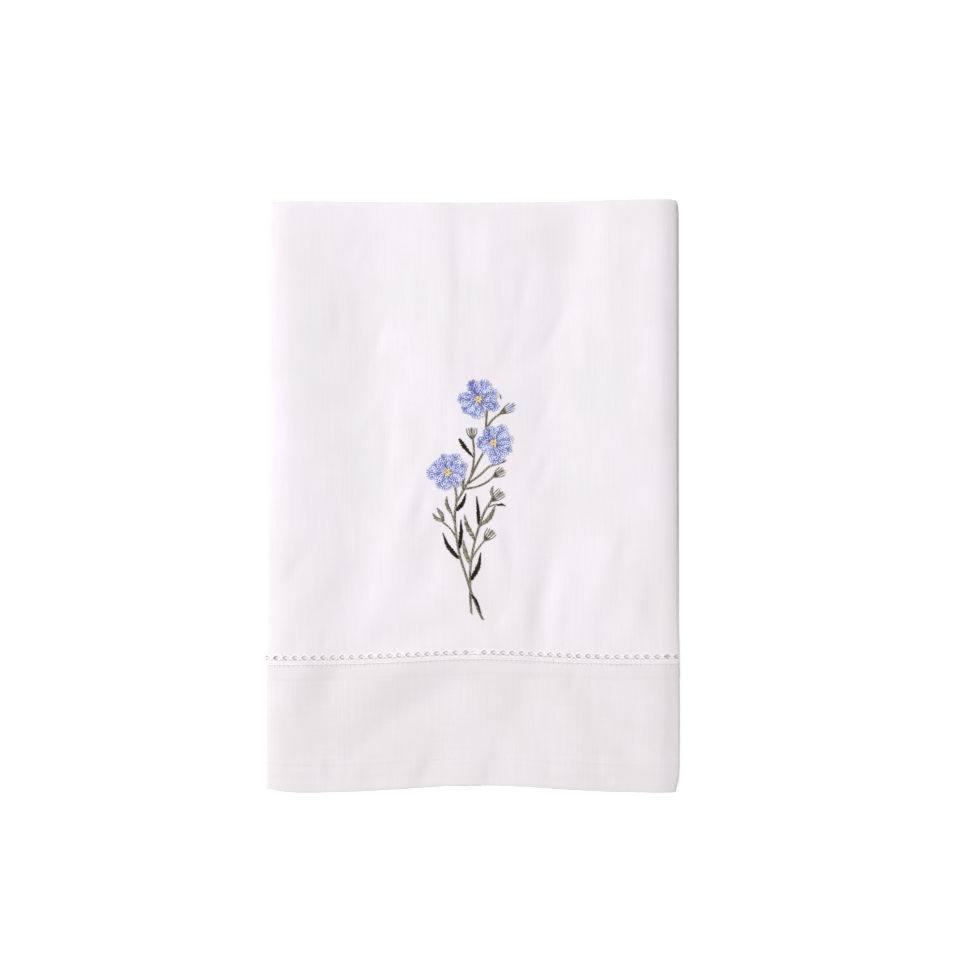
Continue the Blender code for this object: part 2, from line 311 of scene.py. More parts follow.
# %% Follow the cut round the turned-up hem
HEM_LAYER = 0.46 * MM
BOTTOM_BEND = math.pi * HEM_LAYER
BACK_OF_HEM = OPEN_LOW - HEM_SLOPE
TURN_BEND = math.pi * HEM_LAYER / 2
CUT_START = -(BOTTOM_BEND + BACK_OF_HEM + TURN_BEND + TURNED_IN)


def turned_up(cut):
    """(along, out) of a place on the cut, which is negative past the hem's edge."""
    if cut >= 0:
        return cut, 0.0
    past = -cut
    if past < BOTTOM_BEND:
        turn = past / HEM_LAYER
        return -HEM_LAYER * math.sin(turn), -HEM_LAYER * (1 - math.cos(turn))
    past -= BOTTOM_BEND
    if past < BACK_OF_HEM:
        return past, -2 * HEM_LAYER
    past -= BACK_OF_HEM
    if past < TURN_BEND:
        turn = 2 * past / HEM_LAYER
        half = HEM_LAYER / 2
        return BACK_OF_HEM + half * math.sin(turn), -2 * HEM_LAYER + half * (1 - math.cos(turn))
    return BACK_OF_HEM - (past - TURN_BEND), -HEM_LAYER


print("the cut is", round((CLOTH_LENGTH - CUT_START) / MM, 1), "mm long with the turned-up hem")

# %% [markdown]
# The sheet is one grid of quads. It is divided finely where the front shows creases and
# at the openwork, closely round each fold, and coarsely where it is hidden. A row is where
# a stretch of the cloth ends, counted from the one before, and the step that divides it.

# %% Divide the sheet
FLAP_EDGE = CLOTH_WIDTH / 2
BEND_END = PANEL_HALF + SIDE_FOLD_LENGTH
SIDE_HEM_START = FLAP_EDGE - SIDE_HEM_DEPTH
END_HEM_START = CLOTH_LENGTH - END_HEM_DEPTH
HALF_WIDTH_RUNS = (
    (PANEL_HALF - 8 * MM, 2 * MM), (PANEL_HALF, 1 * MM), (BEND_END, 0.33 * MM), (SIDE_HEM_START, 8 * MM),
    (SIDE_HEM_START + HEM_STEP, HEM_STEP), (FLAP_EDGE, 3 * MM),
)
LENGTH_RUNS = (
    (CUT_START + TURNED_IN, 4 * MM), (-(BOTTOM_BEND + BACK_OF_HEM), 0.25 * MM),
    (-(BOTTOM_BEND + 16 * MM), 6 * MM), (-BOTTOM_BEND, 2.7 * MM), (0, 0.24 * MM), (16 * MM, 1.2 * MM),
    (OPEN_LOW - TURNED_IN - 2 * MM, 2 * MM), (OPEN_LOW - TURNED_IN + 2 * MM, 0.6 * MM),
    (OPEN_LOW - 3 * MM, 1.6 * MM), (OPEN_LOW, 0.5 * MM), (OPEN_HIGH, OPEN_HIGH - OPEN_LOW),
    (OPEN_HIGH + 3 * MM, 0.6 * MM), (FRONT_LENGTH, 2 * MM), (BACK_START, 0.6 * MM),
    (CLOTH_LENGTH - 14 * MM, 6 * MM), (END_HEM_START - HEM_STEP / 2, 2 * MM),
    (END_HEM_START + HEM_STEP / 2, HEM_STEP), (CLOTH_LENGTH, 2 * MM),
)


def places(start, runs):
    """Every place where a table of runs divides the cloth, ends included."""
    found = [start]
    for end, step in runs:
        first = found[-1]
        count = max(1, round((end - first) / step))
        found += [first + (end - first) * index / count for index in range(1, count)] + [end]
    return found


half_columns = places(0, HALF_WIDTH_RUNS)
columns = np.array([-place for place in half_columns[:0:-1]] + half_columns)
rows = np.array(places(CUT_START, LENGTH_RUNS))
print(len(columns), "columns and", len(rows), "rows")

# %% [markdown]
# On the real towel the narrow hems are two turns of the cloth, so there the sheet is made
# thicker through a vertex group. The turned-in edge of the deep hem shows on the face as
# a faint step below the openwork. Under the cord the stitching pulls the cloth down into
# a groove.

# %% Shape the face round the hem
TURNED_IN_STEP = 0.22 * MM
GROOVE_DEPTH = 0.16 * MM
GROOVE_WIDTH = 0.8 * MM
CORD_ALONG = 55.0 * MM


def hem_relief(along):
    """How far the face of the hem stands out or lies back from the solid's skin."""
    step = TURNED_IN_STEP * (1 - smooth((along - OPEN_LOW + TURNED_IN + 1 * MM) / (2 * MM)))
    groove = GROOVE_DEPTH * np.exp(-(((along - CORD_ALONG + 0.9 * MM) / GROOVE_WIDTH) ** 2))
    on_hem = 1 - smooth((along - OPEN_LOW) / HEM_STEP)
    return -(step + groove) * on_hem * smooth(along / (4 * MM))


def sheet_thickness(across, cut):
    """The thickness of the sheet: one cloth, or three at a narrow hem."""
    side_hem = smooth((abs(across) - FLAP_EDGE + SIDE_HEM_DEPTH) / HEM_STEP)
    hem_share = np.maximum(side_hem, end_hem_share(cut))
    return CLOTH_THICKNESS + (NARROW_HEM_THICKNESS - CLOTH_THICKNESS) * hem_share


# %% [markdown]
# Now the sheet itself. The grid is made flat by one operator, each vertex is folded, the
# quads of the openwork are taken out, and a Solidify modifier gives the cloth its
# thickness. Its UV map is the flat cut in metres, so the weave follows every fold.

# %% Make the linen sheet
def add_object(name, data):
    """A new object in the scene."""
    made = bpy.data.objects.new(name, data)
    bpy.context.scene.collection.objects.link(made)
    return made


def add_mesh(name, shape):
    """A new object made of a bmesh."""
    mesh = bpy.data.meshes.new(name)
    shape.to_mesh(mesh)
    shape.free()
    return add_object(name, mesh)


def make_cloth():
    """The whole towel as one folded sheet."""
    grid = bmesh.new()
    bmesh.ops.create_grid(grid, x_segments=len(columns) - 1, y_segments=len(rows) - 1, size=0.5)
    grid.verts.ensure_lookup_table()
    column_of = [round((vertex.co.x + 0.5) * (len(columns) - 1)) for vertex in grid.verts]
    row_of = [round((vertex.co.y + 0.5) * (len(rows) - 1)) for vertex in grid.verts]
    across, cut = columns[column_of], rows[row_of]
    along_out = np.array([turned_up(row) for row in rows])
    along, out = along_out[row_of, 0], along_out[row_of, 1]
    out = out + np.where(cut >= 0, hem_relief(along), 0)
    for vertex, place in zip(grid.verts, cloth_points(across, along, out)):
        vertex.co = place
    cut_map = grid.loops.layers.uv.new("flat_cut")
    open_row = int(np.searchsorted(rows, OPEN_LOW - MM / 100))
    opened = []
    for face in grid.faces:
        if all(row_of[vertex.index] in (open_row, open_row + 1) for vertex in face.verts):
            opened.append(face)
        for loop in face.loops:
            loop[cut_map].uv = (across[loop.vert.index], cut[loop.vert.index])
    bmesh.ops.delete(grid, geom=opened, context="FACES_ONLY")
    cloth = add_mesh("towel_cloth", grid)
    group = cloth.vertex_groups.new(name="thickness")
    for index, thick in enumerate(sheet_thickness(across, cut)):
        group.add([index], thick / NARROW_HEM_THICKNESS, "REPLACE")
    solidify = cloth.modifiers.new("thickness", "SOLIDIFY")
    solidify.thickness = NARROW_HEM_THICKNESS
    solidify.offset = 0
    solidify.vertex_group = group.name
    cloth.data.shade_smooth()
    print("the sheet has", len(cloth.data.polygons), "quads, after", len(opened), "were taken out")
    return cloth


cloth = make_cloth()

# %% [markdown]
# Every thread on the towel is the same kind of thing: a short strand, rounded at its
# ends, that lies on the cloth. One strand is modelled once, as a grid rolled into a tube
# and closed. An Array modifier then repeats it as often as the piece has stitches, and
# each copy's points are moved onto its own line. A curve object for each stitch would be
# simpler to write, but thousands of them are slow and hard to keep.

# %% Model one strand
def make_strand(steps, sides):
    """A closed tube whose points hold (share of its length, across it, out from the cloth)."""
    tube = bmesh.new()
    bmesh.ops.create_grid(tube, x_segments=steps, y_segments=sides, size=0.5)
    strand_map = tube.loops.layers.uv.new("strand")
    for face in tube.faces:
        for loop in face.loops:
            loop[strand_map].uv = (loop.vert.co.x + 0.5, loop.vert.co.y + 0.5)
    for vertex in tube.verts:
        turn = (vertex.co.y + 0.5) * 2 * math.pi
        vertex.co = (vertex.co.x + 0.5, math.cos(turn), math.sin(turn))
    bmesh.ops.remove_doubles(tube, verts=tube.verts, dist=1e-4)
    bmesh.ops.holes_fill(tube, edges=tube.edges, sides=sides)
    bmesh.ops.recalc_face_normals(tube, faces=tube.faces)
    return add_mesh("strand", tube)


def read(collection, name, size):
    """One attribute of every element of a mesh's collection, as rows of numbers."""
    values = np.empty(len(collection) * size)
    collection.foreach_get(name, values)
    return values.reshape(-1, size)


# %% [markdown]
# A strand's line says where it runs on the flat cloth and how high. The points of its tube
# are set beside and above that line, thinner at both ends, and then folded as the cloth
# is. A wrapped thread is pinched at every second step, so that its turns show.

# %% Lay many strands on the cloth
Strand = namedtuple("Strand", "line half_width half_height tone")
END_SHARE = 0.4
WRAP_PINCH = 0.12


def lay_strands(name, strands, sides=6, wraps=False):
    """One joined mesh of strands. A strand's line holds (across, along, out) at each step."""
    steps = len(strands[0].line) - 1
    helper = make_strand(steps, sides)
    template = helper.data
    shape = read(template.vertices, "co", 3)
    array = helper.modifiers.new("repeat", "ARRAY")
    array.count = len(strands)
    array.use_relative_offset = False
    array.use_constant_offset = True
    array.constant_offset_displace = (2, 0, 0)
    array.use_merge_vertices = False
    graph = bpy.context.evaluated_depsgraph_get()
    mesh = bpy.data.meshes.new_from_object(helper.evaluated_get(graph))
    mesh.name = name
    bpy.data.objects.remove(helper)

    section = np.rint(shape[:, 0] * steps).astype(int)
    taper = np.ones(steps + 1)
    taper[[0, -1]] = END_SHARE
    if wraps:
        taper[1::2] -= WRAP_PINCH
    else:
        taper[[1, -2]] = 1 - (1 - END_SHARE) * 0.25
    lines, half_widths, half_heights, tones = map(np.array, zip(*strands))
    ahead = np.gradient(lines[:, :, :2], axis=1)
    ahead /= np.maximum(np.linalg.norm(ahead, axis=2, keepdims=True), 1e-9)
    aside = shape[:, 1] * (half_widths[:, None] * taper[section])
    above = shape[:, 2] * (half_heights[:, None] * taper[section])
    across = lines[:, section, 0] - ahead[:, section, 1] * aside
    along = lines[:, section, 1] + ahead[:, section, 0] * aside
    out = lines[:, section, 2] + above
    points = cloth_points(across.ravel(), along.ravel(), out.ravel())
    mesh.vertices.foreach_set("co", points.ravel())

    lengths = np.linalg.norm(np.diff(lines, axis=1), axis=2).sum(axis=1)
    uvs = read(mesh.uv_layers["strand"].data, "uv", 2)
    uvs[:, 0] *= np.repeat(lengths, len(template.loops))
    mesh.uv_layers["strand"].data.foreach_set("uv", uvs.ravel())
    tone = mesh.attributes.new("tone", "FLOAT", "POINT")
    tone.data.foreach_set("value", np.repeat(tones, len(shape)))
    mesh.update()
    mesh.shade_smooth()
    print(name, "has", len(strands), "strands and", len(mesh.polygons), "faces")
    return add_object(name, mesh)


# %% [markdown]
# Hemstitching: crosswise threads are drawn out of the linen above the hem, and those that
# are left are bound in bundles. Here the bundles slant left and right in turn, so that a
# row of diamonds stays open. Each slant is a bar wrapped in white thread. The bars could
# be cut out of a flat strip, but wrapped bars catch the light as the real ones do.

# %% Work the open lattice
SURFACE = CLOTH_THICKNESS / 2
DIAMOND_PITCH = 4.09 * MM
DIAMOND_ALONG = 57.75 * MM
BAR_RISE = 1.7 * MM
BAR_STEPS = 14
BAR_HALF_WIDTH = 0.36 * MM
BAR_HALF_HEIGHT = 0.15 * MM
BAR_FOOT_OUT = -0.04 * MM
diamond_count = int(CLOTH_WIDTH / DIAMOND_PITCH)
first_diamond = -(diamond_count - 1) / 2 * DIAMOND_PITCH


def straight(start, end, steps, arch=0.0):
    """A line of places from start to end, raised in its middle by arch."""
    share = np.linspace(0, 1, steps + 1)[:, None]
    line = np.asarray(start) * (1 - share) + np.asarray(end) * share
    line[:, 2] += arch * np.sin(np.pi * share[:, 0])
    return line


def lattice_bars():
    """The slanting bars: each diamond has two above and two below it."""
    for index in range(diamond_count):
        middle = first_diamond + index * DIAMOND_PITCH
        for side in (-1, 1):
            for way in (-1, 1):
                foot = (middle + side * DIAMOND_PITCH / 2, DIAMOND_ALONG, BAR_FOOT_OUT)
                tip = (middle, DIAMOND_ALONG + way * BAR_RISE, SURFACE)
                line = straight(foot, tip, BAR_STEPS)
                yield Strand(line, BAR_HALF_WIDTH, BAR_HALF_HEIGHT, 0.9)


lattice = lay_strands("hemstitch_lattice", list(lattice_bars()), wraps=True)

# %% [markdown]
# Below the diamonds a thick cord of the same white thread holds the top of the hem, and is
# pressed flat at the side folds. Short stitches bite down from it into the cloth, two for
# each diamond, and above the diamonds a light overcasting holds the open edge.

# %% Lay the cord and its stitches
CORD_HALF_WIDTH, CORD_HALF_HEIGHT = 0.35 * MM, 0.32 * MM
CORD_STEP = 0.34 * MM
CORD_OUT = SURFACE + 0.16 * MM
CORD_SCALLOP = 0.13 * MM
CORD_PRESSED = 0.32 * MM
EDGE_MARGIN = 0.6 * MM
BITE_LENGTH = 1.3 * MM
OVERCAST_LENGTH = 1.1 * MM
TOP_FAN = (-0.8, -0.5, -0.2, 0.2, 0.5, 0.8)
IN_THE_OPEN = 0.02 * MM
SUNK = SURFACE - 0.06 * MM
STITCH_STEPS = 5


def sewn(start, end, arch, half_width, half_height, tone):
    """One straight stitch, with its arch and its halves in millimetres."""
    line = straight(start, end, STITCH_STEPS, arch * MM)
    return Strand(line, half_width * MM, half_height * MM, tone)


cord_steps = int(CLOTH_WIDTH / CORD_STEP)
cord_end = FLAP_EDGE - EDGE_MARGIN
cord_line = straight((-cord_end, CORD_ALONG, CORD_OUT), (cord_end, CORD_ALONG, CORD_OUT), cord_steps)
cord_line[:, 1] -= CORD_SCALLOP * np.cos(4 * np.pi * (cord_line[:, 0] - first_diamond) / DIAMOND_PITCH)
cord_line[:, 2] -= CORD_PRESSED * smooth((abs(cord_line[:, 0]) - PANEL_HALF + 1 * MM) / (2 * MM))
cord_strand = Strand(cord_line, CORD_HALF_WIDTH, CORD_HALF_HEIGHT, 0.6)
cord = lay_strands("hemstitch_cord", [cord_strand], sides=8, wraps=True)

dice = random.Random(7)
edge_stitches = []
for index in range(2 * diamond_count):
    middle = first_diamond + (index - 0.5) * DIAMOND_PITCH / 2
    lean = dice.uniform(-0.12, 0.12) * MM
    end = (middle + lean, CORD_ALONG - BITE_LENGTH, SURFACE - 0.2 * MM)
    edge_stitches.append(sewn((middle, CORD_ALONG, SURFACE), end, 0.12, 0.22, 0.14, 0.6))
for index in range(-1, diamond_count):
    foot = first_diamond + (index + 0.5) * DIAMOND_PITCH
    for fan in TOP_FAN:
        start = (foot + fan * 0.35 * MM, DIAMOND_ALONG + 0.15 * MM, IN_THE_OPEN)
        end = (foot + fan * 1.35 * MM, OPEN_HIGH + OVERCAST_LENGTH - abs(fan) * 0.5 * MM, SUNK)
        edge_stitches.append(sewn(start, end, 0.1, 0.17, 0.11, 0.5))
    start = (foot, DIAMOND_ALONG - 0.15 * MM, IN_THE_OPEN)
    edge_stitches.append(sewn(start, (foot, CORD_ALONG, SUNK), 0.06, 0.24, 0.12, 0.5))
edging = lay_strands("hemstitch_edging", edge_stitches)

# %% [markdown]
# The narrow hems at the sides and at the plain end are held by a small running stitch.
# Only the one on the back shows on the folded towel, but the thread is on all three.

# %% Run the narrow hems' stitches
RUN_STITCH = 1.7 * MM
RUN_PITCH = 2.4 * MM
RUN_INSET = 1.4 * MM
RUN_OUT = NARROW_HEM_THICKNESS / 2 - 0.15 * MM


def running_stitches():
    """Stitches along the plain end's hem and along both side hems."""
    ends = []
    for index in range(int((CLOTH_WIDTH - 4 * MM) / RUN_PITCH)):
        start = -FLAP_EDGE + 2 * MM + index * RUN_PITCH
        ends.append(((start, END_HEM_START + RUN_INSET), (start + RUN_STITCH, END_HEM_START + RUN_INSET)))
    for side in (-1, 1):
        beside = side * (SIDE_HEM_START + RUN_INSET)
        for index in range(int((CLOTH_LENGTH - OPEN_HIGH - 10 * MM) / RUN_PITCH)):
            start = OPEN_HIGH + 3 * MM + index * RUN_PITCH
            ends.append(((beside, start), (beside, start + RUN_STITCH)))
    return [sewn((*start, RUN_OUT), (*end, RUN_OUT), 0.07, 0.15, 0.1, 0.5) for start, end in ends]


hem_running = lay_strands("hem_running_stitches", running_stitches(), sides=5)

# %% [markdown]
# The sprig is drawn in its own millimetres, from the point where its two stems cross, with
# x to the right and y up, as it shows on the pulled cloth. It is laid out in the manner of
# a small wild flower: three open blossoms, side shoots with buds, and narrow leaves. A
# stem's row is its width and the few places that its smooth curve goes through.

# %% Draw the sprig
SPRIG_ACROSS = -0.1 * MM
SPRIG_ALONG = 87.6 * MM
STEMS = (
    (1.2, (0.5, -10.2), (0.1, -4), (0, 2), (0.1, 9), (1.2, 17), (3.2, 25), (6, 33), (9.4, 38.8)),
    (1.25, (5.3, -12.8), (3.2, -8.4), (0.6, -1.6), (-2, 6.5), (-4.6, 15), (-6.1, 24), (-6.6, 32),
     (-5.9, 39), (-6.6, 45)),
    (1.1, (-5.8, 38), (-2.8, 43), (0.2, 49), (1.5, 55), (1.6, 61), (1, 66)),
    (1.1, (-3.6, 41.8), (0.2, 48.5), (3.2, 54.5), (6, 59.6)),
    (1.05, (-0.2, 46.2), (4.2, 49.4), (8.2, 53), (12.2, 54.4), (15, 55.4)),
    (1.05, (-2.4, 43.4), (2.8, 44.4), (7.2, 46.4), (10.6, 49.2)),
    (1.1, (7.3, 77.4), (7, 73.4), (6.8, 68.8)), (1.05, (6.9, 69.4), (9.8, 73.5), (14, 76.7)),
    (0.85, (-6.1, 22.4), (-8.6, 26.2), (-12.2, 29.4)), (0.8, (-6.6, 28.2), (-7.8, 32), (-8.8, 34.6)),
    (0.85, (0.9, 13.6), (3.4, 17.6), (6.6, 21.6)), (0.8, (3.4, 26.4), (6.4, 29.4), (8.6, 32.4)),
    (0.7, (8.4, 35.8), (10.6, 36.6), (12.4, 36.6)),
)
Leaf = namedtuple("Leaf", "base tip width bow dark")
LEAVES = [Leaf(*row) for row in (
    ((-4.5, 65), (1.4, 57.1), 1.8, -0.4, True), ((-5.8, 34.4), (-1.9, 41.2), 1.8, -0.9, True),
    ((3.6, 28.2), (2.8, 40), 1.5, -0.3, True), ((-4.7, 18), (-4, 30), 1.7, -0.5, True),
    ((-5.2, 13.4), (-11.8, 24.2), 1.9, 0.9, True), ((0.5, 4.4), (4.6, 15.6), 2, -1, True),
    ((12, 36.5), (15.2, 36.2), 1, 0.3, True), ((2, 21.4), (-2.6, 32.2), 1.9, 0.6, False),
    ((0.4, 10), (-2.9, 21), 1.9, 0.6, False), ((-8.2, 32.8), (-10.2, 40), 1.6, 0.7, False),
    ((4.4, 27.8), (10.8, 36), 1.9, -1.2, False), ((9.6, 39.6), (9.9, 44.6), 1.5, 0.5, False),
    ((-3.2, 43.2), (-2.4, 48), 1.1, 0.3, False), ((-12, 29.4), (-16.2, 32.8), 1.7, 0.6, False),
    ((-11.6, 29.8), (-14.2, 35), 1.7, -0.5, False), ((0.9, -2.6), (4.6, -10.2), 1.3, 0.3, True),
)]
Bud = namedtuple("Bud", "base tip spread petal_tone")
BUDS = [Bud(*row) for row in (
    ((1, 64.8), (0.6, 70.2), 2.3, 0), ((12.8, 76), (19.7, 79.9), 1.9, 0.8),
    ((9.9, 48.6), (15.2, 52), 2.1, 0), ((9, 38), (14.4, 42.6), 2.2, 0), ((6.1, 20.9), (10.2, 26), 2.4, 0),
)]
Petal = namedtuple("Petal", "turn length width tone")
BLOSSOMS = (
    ((3.7, 82.2), (
        (68, 9, 5.9, 0.1), (20, 8.6, 5.2, 0.04), (-24, 9.2, 4.3, -0.06), (-101, 8.2, 6.5, 0.1),
        (-142, 8.6, 4.7, -0.08), (178, 9.2, 5.6, 0.06), (113, 8.8, 4.3, -0.24))),
    ((10.3, 63.5), (
        (56, 8.6, 4.9, 0.04), (11, 8.2, 4.7, 0.1), (-28, 8.2, 3.8, -0.04), (-80, 9.5, 6.7, 0.1),
        (-139, 6.2, 4.1, 0.22), (182, 7.2, 5, -0.2), (114, 7.2, 5.4, -0.16))),
    ((-9.7, 50.6), (
        (62, 8.8, 5.6, 0.1), (22, 8.7, 4.1, -0.04), (-13, 7.6, 4.1, 0.08), (-50, 7.5, 4.3, -0.06),
        (-113, 7.8, 7.2, 0.08), (182, 9.4, 4.7, 0.12), (150, 7.6, 4.1, 0.02), (104, 7.9, 4.3, -0.1))),
)


def sprig_place(point, out):
    """A place of the sprig, in millimetres, as (across, along, out) on the cloth."""
    across, along = SPRIG_ACROSS + point[0] * MM, SPRIG_ALONG + point[1] * MM
    return (across, along - pulled(across, BOTTOM_Y + along, "front")[1], out)


def left_of(way):
    """The direction square to another one, to its left."""
    return np.array([-way[1], way[0]])


def curve_through(points, spacing):
    """Evenly spaced places and directions on a smooth curve through a few places."""
    points = np.array(points, float)
    padded = np.vstack([2 * points[0] - points[1], points, 2 * points[-1] - points[-2]])
    dense = []
    for index in range(len(points) - 1):
        before, start, end, after = padded[index:index + 4]
        share = np.linspace(0, 1, 40, endpoint=False)[:, None]
        dense.append(0.5 * (2 * start + (end - before) * share
                            + (2 * before - 5 * start + 4 * end - after) * share ** 2
                            + (3 * start - before - 3 * end + after) * share ** 3))
    dense = np.vstack(dense + [points[-1:]])
    run = np.concatenate([[0], np.cumsum(np.linalg.norm(np.diff(dense, axis=0), axis=1))])
    count = max(2, round(run[-1] / spacing) + 1)
    wanted = np.linspace(0, run[-1], count)
    line = np.stack([np.interp(wanted, run, dense[:, 0]), np.interp(wanted, run, dense[:, 1])], axis=1)
    ahead = np.gradient(line, axis=0)
    return line, ahead / np.linalg.norm(ahead, axis=1, keepdims=True)


# %% [markdown]
# A stem is worked in stem stitch: each stitch slants a little across the line and starts
# beside the middle of the one before, which makes a fine rope. Its stitches are painted
# lighter and darker in turn, as painted light and shade on the rope. A leaf is satin
# stitch, close slanting stitches from edge to edge, whose length follows the leaf's width.

# %% Work the stems and leaves
THREAD_HALF = 0.23 * MM
STITCH_ARCH = 0.16 * MM
STITCH_BASE = 0.08 * MM
STEM_SPACING, STEM_REACH, STEM_INSET = 0.8, 0.85, 0.12
LEAF_SPACING, LEAF_SLANT, LEAF_LEAST = 0.42, 0.7, 0.22
SAGE_TONE = 0.74
DARK_TONE = 0.12


def stitch(start, end, tone, half_width=THREAD_HALF, arch=STITCH_ARCH):
    """One straight stitch between two places of the sprig, arched over the cloth."""
    low = SURFACE + STITCH_BASE
    line = straight(sprig_place(start, low), sprig_place(end, low), STITCH_STEPS, arch)
    return Strand(line, half_width, half_width * 0.8, tone)


def stem_stitches(width, places):
    """Slanting, overlapping stitches along a stem."""
    line, ahead = curve_through(places, STEM_SPACING)
    for index, (place, way) in enumerate(zip(line, ahead)):
        reach = way * STEM_REACH + left_of(way) * (width / 2 - STEM_INSET)
        # every other stitch is painted a little lighter and the next a little darker, as painted light
        # and shade on the rope; the rest of the spread is at random
        tone = SAGE_TONE + dice.uniform(-0.12, 0.12) + (0.1 if index % 2 else -0.1)
        yield stitch(place - reach, place + reach, tone)


def leaf_stitches(leaf):
    """Satin stitches from edge to edge of a bowed leaf."""
    base, tip = np.array(leaf.base), np.array(leaf.tip)
    way = (tip - base) / np.linalg.norm(tip - base)
    middle = (base + tip) / 2 + left_of(way) * leaf.bow
    line, ahead = curve_through((base, middle, tip), LEAF_SPACING)
    fullest, tone, darker, paler = (
        (0.7, DARK_TONE, -0.12, 0.2) if leaf.dark else (0.9, SAGE_TONE, -0.16, 0.24))
    for index, (place, way) in enumerate(zip(line, ahead)):
        share = index / (len(line) - 1)
        half = leaf.width / 2 * math.sin(math.pi * min(1, 0.06 + 0.94 * share) ** fullest) ** 0.7
        half = max(half, LEAF_LEAST)
        near, far = half * dice.uniform(0.8, 1.3), half * dice.uniform(0.8, 1.3)
        slant = left_of(way) + way * LEAF_SLANT
        shade = tone + dice.uniform(darker, paler)
        yield stitch(place - slant * near, place + slant * far, shade, arch=0.26 * MM)


STRAY_STITCH = ((12.9, 84.6), (13.4, 82.2))
stem_strands = [strand for width, *places in STEMS for strand in stem_stitches(width, places)]
stem_strands.append(stitch(*STRAY_STITCH, 0.6))
leaf_strands = [strand for leaf in LEAVES for strand in leaf_stitches(leaf)]
stems = lay_strands("sprig_stems", stem_strands)
leaves = lay_strands("sprig_leaves", leaf_strands)

# %% [markdown]
# A bud is a small fan of five green prongs, each of two stitches, with pale stitches
# between them. In one of the buds it is already the blue petals that show there.

# %% Work the buds
BUD_PRONGS = (-1.0, -0.5, 0.0, 0.5, 1.0)
BUD_FILL = (-0.75, -0.25, 0.25, 0.75)
PALE_TONE = 1.0


def bud_stitches(bud):
    """(green strands, petal strands) of one bud."""
    base, tip = np.array(bud.base), np.array(bud.tip)
    way = tip - base
    aside = left_of(way) / np.linalg.norm(way)
    green, petals = [], []
    for fan in BUD_FILL:
        start = base + way * 0.42 + aside * fan * bud.spread * 0.4
        end = base + way * dice.uniform(0.86, 0.98) + aside * fan * bud.spread * 0.9
        if bud.petal_tone:
            petals.append(stitch(start, end, bud.petal_tone + dice.uniform(-0.1, 0.2), arch=0.1 * MM))
        else:
            green.append(stitch(start, end, PALE_TONE + dice.uniform(-0.12, 0), arch=0.1 * MM))
    for fan in BUD_PRONGS:
        end = base + way * (dice.uniform(0.88, 1.06) - 0.1 * abs(fan)) + aside * fan * bud.spread
        knee = base + way * 0.46 + aside * fan * bud.spread * 0.82
        tone = SAGE_TONE - dice.uniform(0.1, 0.36)
        green.append(stitch(base + aside * fan * 0.2, knee, tone + 0.05))
        green.append(stitch(knee - way * 0.08, end, tone, half_width=THREAD_HALF * 0.7))
    return green, petals


bud_greens, bud_petals = [], []
for bud in BUDS:
    green, petals = bud_stitches(bud)
    bud_greens += green
    bud_petals += petals
buds = lay_strands("sprig_buds", bud_greens)
bud_tips = lay_strands("sprig_bud_petals", bud_petals)

# %% [markdown]
# The petals are worked in two layers. Straight stitches fan out from the heart and cover
# each petal in the deeper blues. Over them lie small open loops of thread, pale and deeper
# in turn, row upon row, and a last row of shorter ones goes round the petal's end. They
# could be a texture, but real ones cast the small shadows that make the flowers look curly.

# %% Work the petals
LOOP_STEPS = 9
LOOP_HALF_WIDTH = 0.2 * MM
WIDEST_AT = 0.64
GROUND_SPACING = 0.4
GROUND_TONES = (0.05, 0.26)
LOOP_ROWS = (0.26, 0.42, 0.58, 0.72)
LOOP_SPACING = 1.15
LOOP_LENGTH = 1.7
LOOP_WIDTH = 0.95
PALE_LOOPS, DEEPER_LOOPS = (0.82, 1.2), (0.2, 0.55)
RIM_SPACING = 1.05
RIM_LENGTH = 1.35
RIM_BEND = math.radians(112)


def petal_half_width(share, widest):
    """Half the width of a petal at a share of its length from the flower's centre."""
    if share < WIDEST_AT:
        return widest * (0.3 + 0.7 * share / WIDEST_AT)
    return widest * math.sqrt(max(0.0, 1 - ((share - WIDEST_AT) / (1 - WIDEST_AT)) ** 2))


def turned(angle):
    """The direction at an angle."""
    return np.array([math.cos(angle), math.sin(angle)])


def loop_strand(place, way, length, width, tone, base):
    """A small closed loop that starts and ends at a place and reaches along a direction."""
    aside = left_of(way)
    line = []
    for step in range(LOOP_STEPS + 1):
        turn = 2 * math.pi * step / LOOP_STEPS
        forward = length * (1 - math.cos(turn)) / 2
        sideways = width / 2 * math.sin(turn)
        point = place + way * forward + aside * sideways
        line.append(sprig_place(point, SURFACE + base + 0.1 * MM * math.sin(turn / 2)))
    return Strand(np.array(line), LOOP_HALF_WIDTH, LOOP_HALF_WIDTH * 0.8, tone)


def petal_ground(centre, petal):
    """The straight stitches that cover a petal: an inner fan and an outer one."""
    way = turned(math.radians(petal.turn))
    aside = left_of(way) * petal.width / 2
    count = round(petal.width / GROUND_SPACING)
    for inner, outer, tone in ((0.2, 0.64, GROUND_TONES[0]), (0.5, 0.96, GROUND_TONES[1])):
        for index in range(count):
            fan = -1 + 2 * (index + 0.5) / count
            rounding = (1 - WIDEST_AT) * (1 - math.sqrt(1 - fan * fan)) if outer > WIDEST_AT else 0
            near = inner * dice.uniform(0.85, 1.15)
            far = outer * (1 - rounding) * dice.uniform(0.95, 1.02)
            start = centre + way * petal.length * near + aside * fan * petal_half_width(near, 1)
            end = centre + way * petal.length * far + aside * fan * min(1, far / WIDEST_AT)
            shade = tone + petal.tone + dice.uniform(-0.14, 0.14)
            yield stitch(start, end, shade, half_width=0.22 * MM, arch=0.05 * MM)


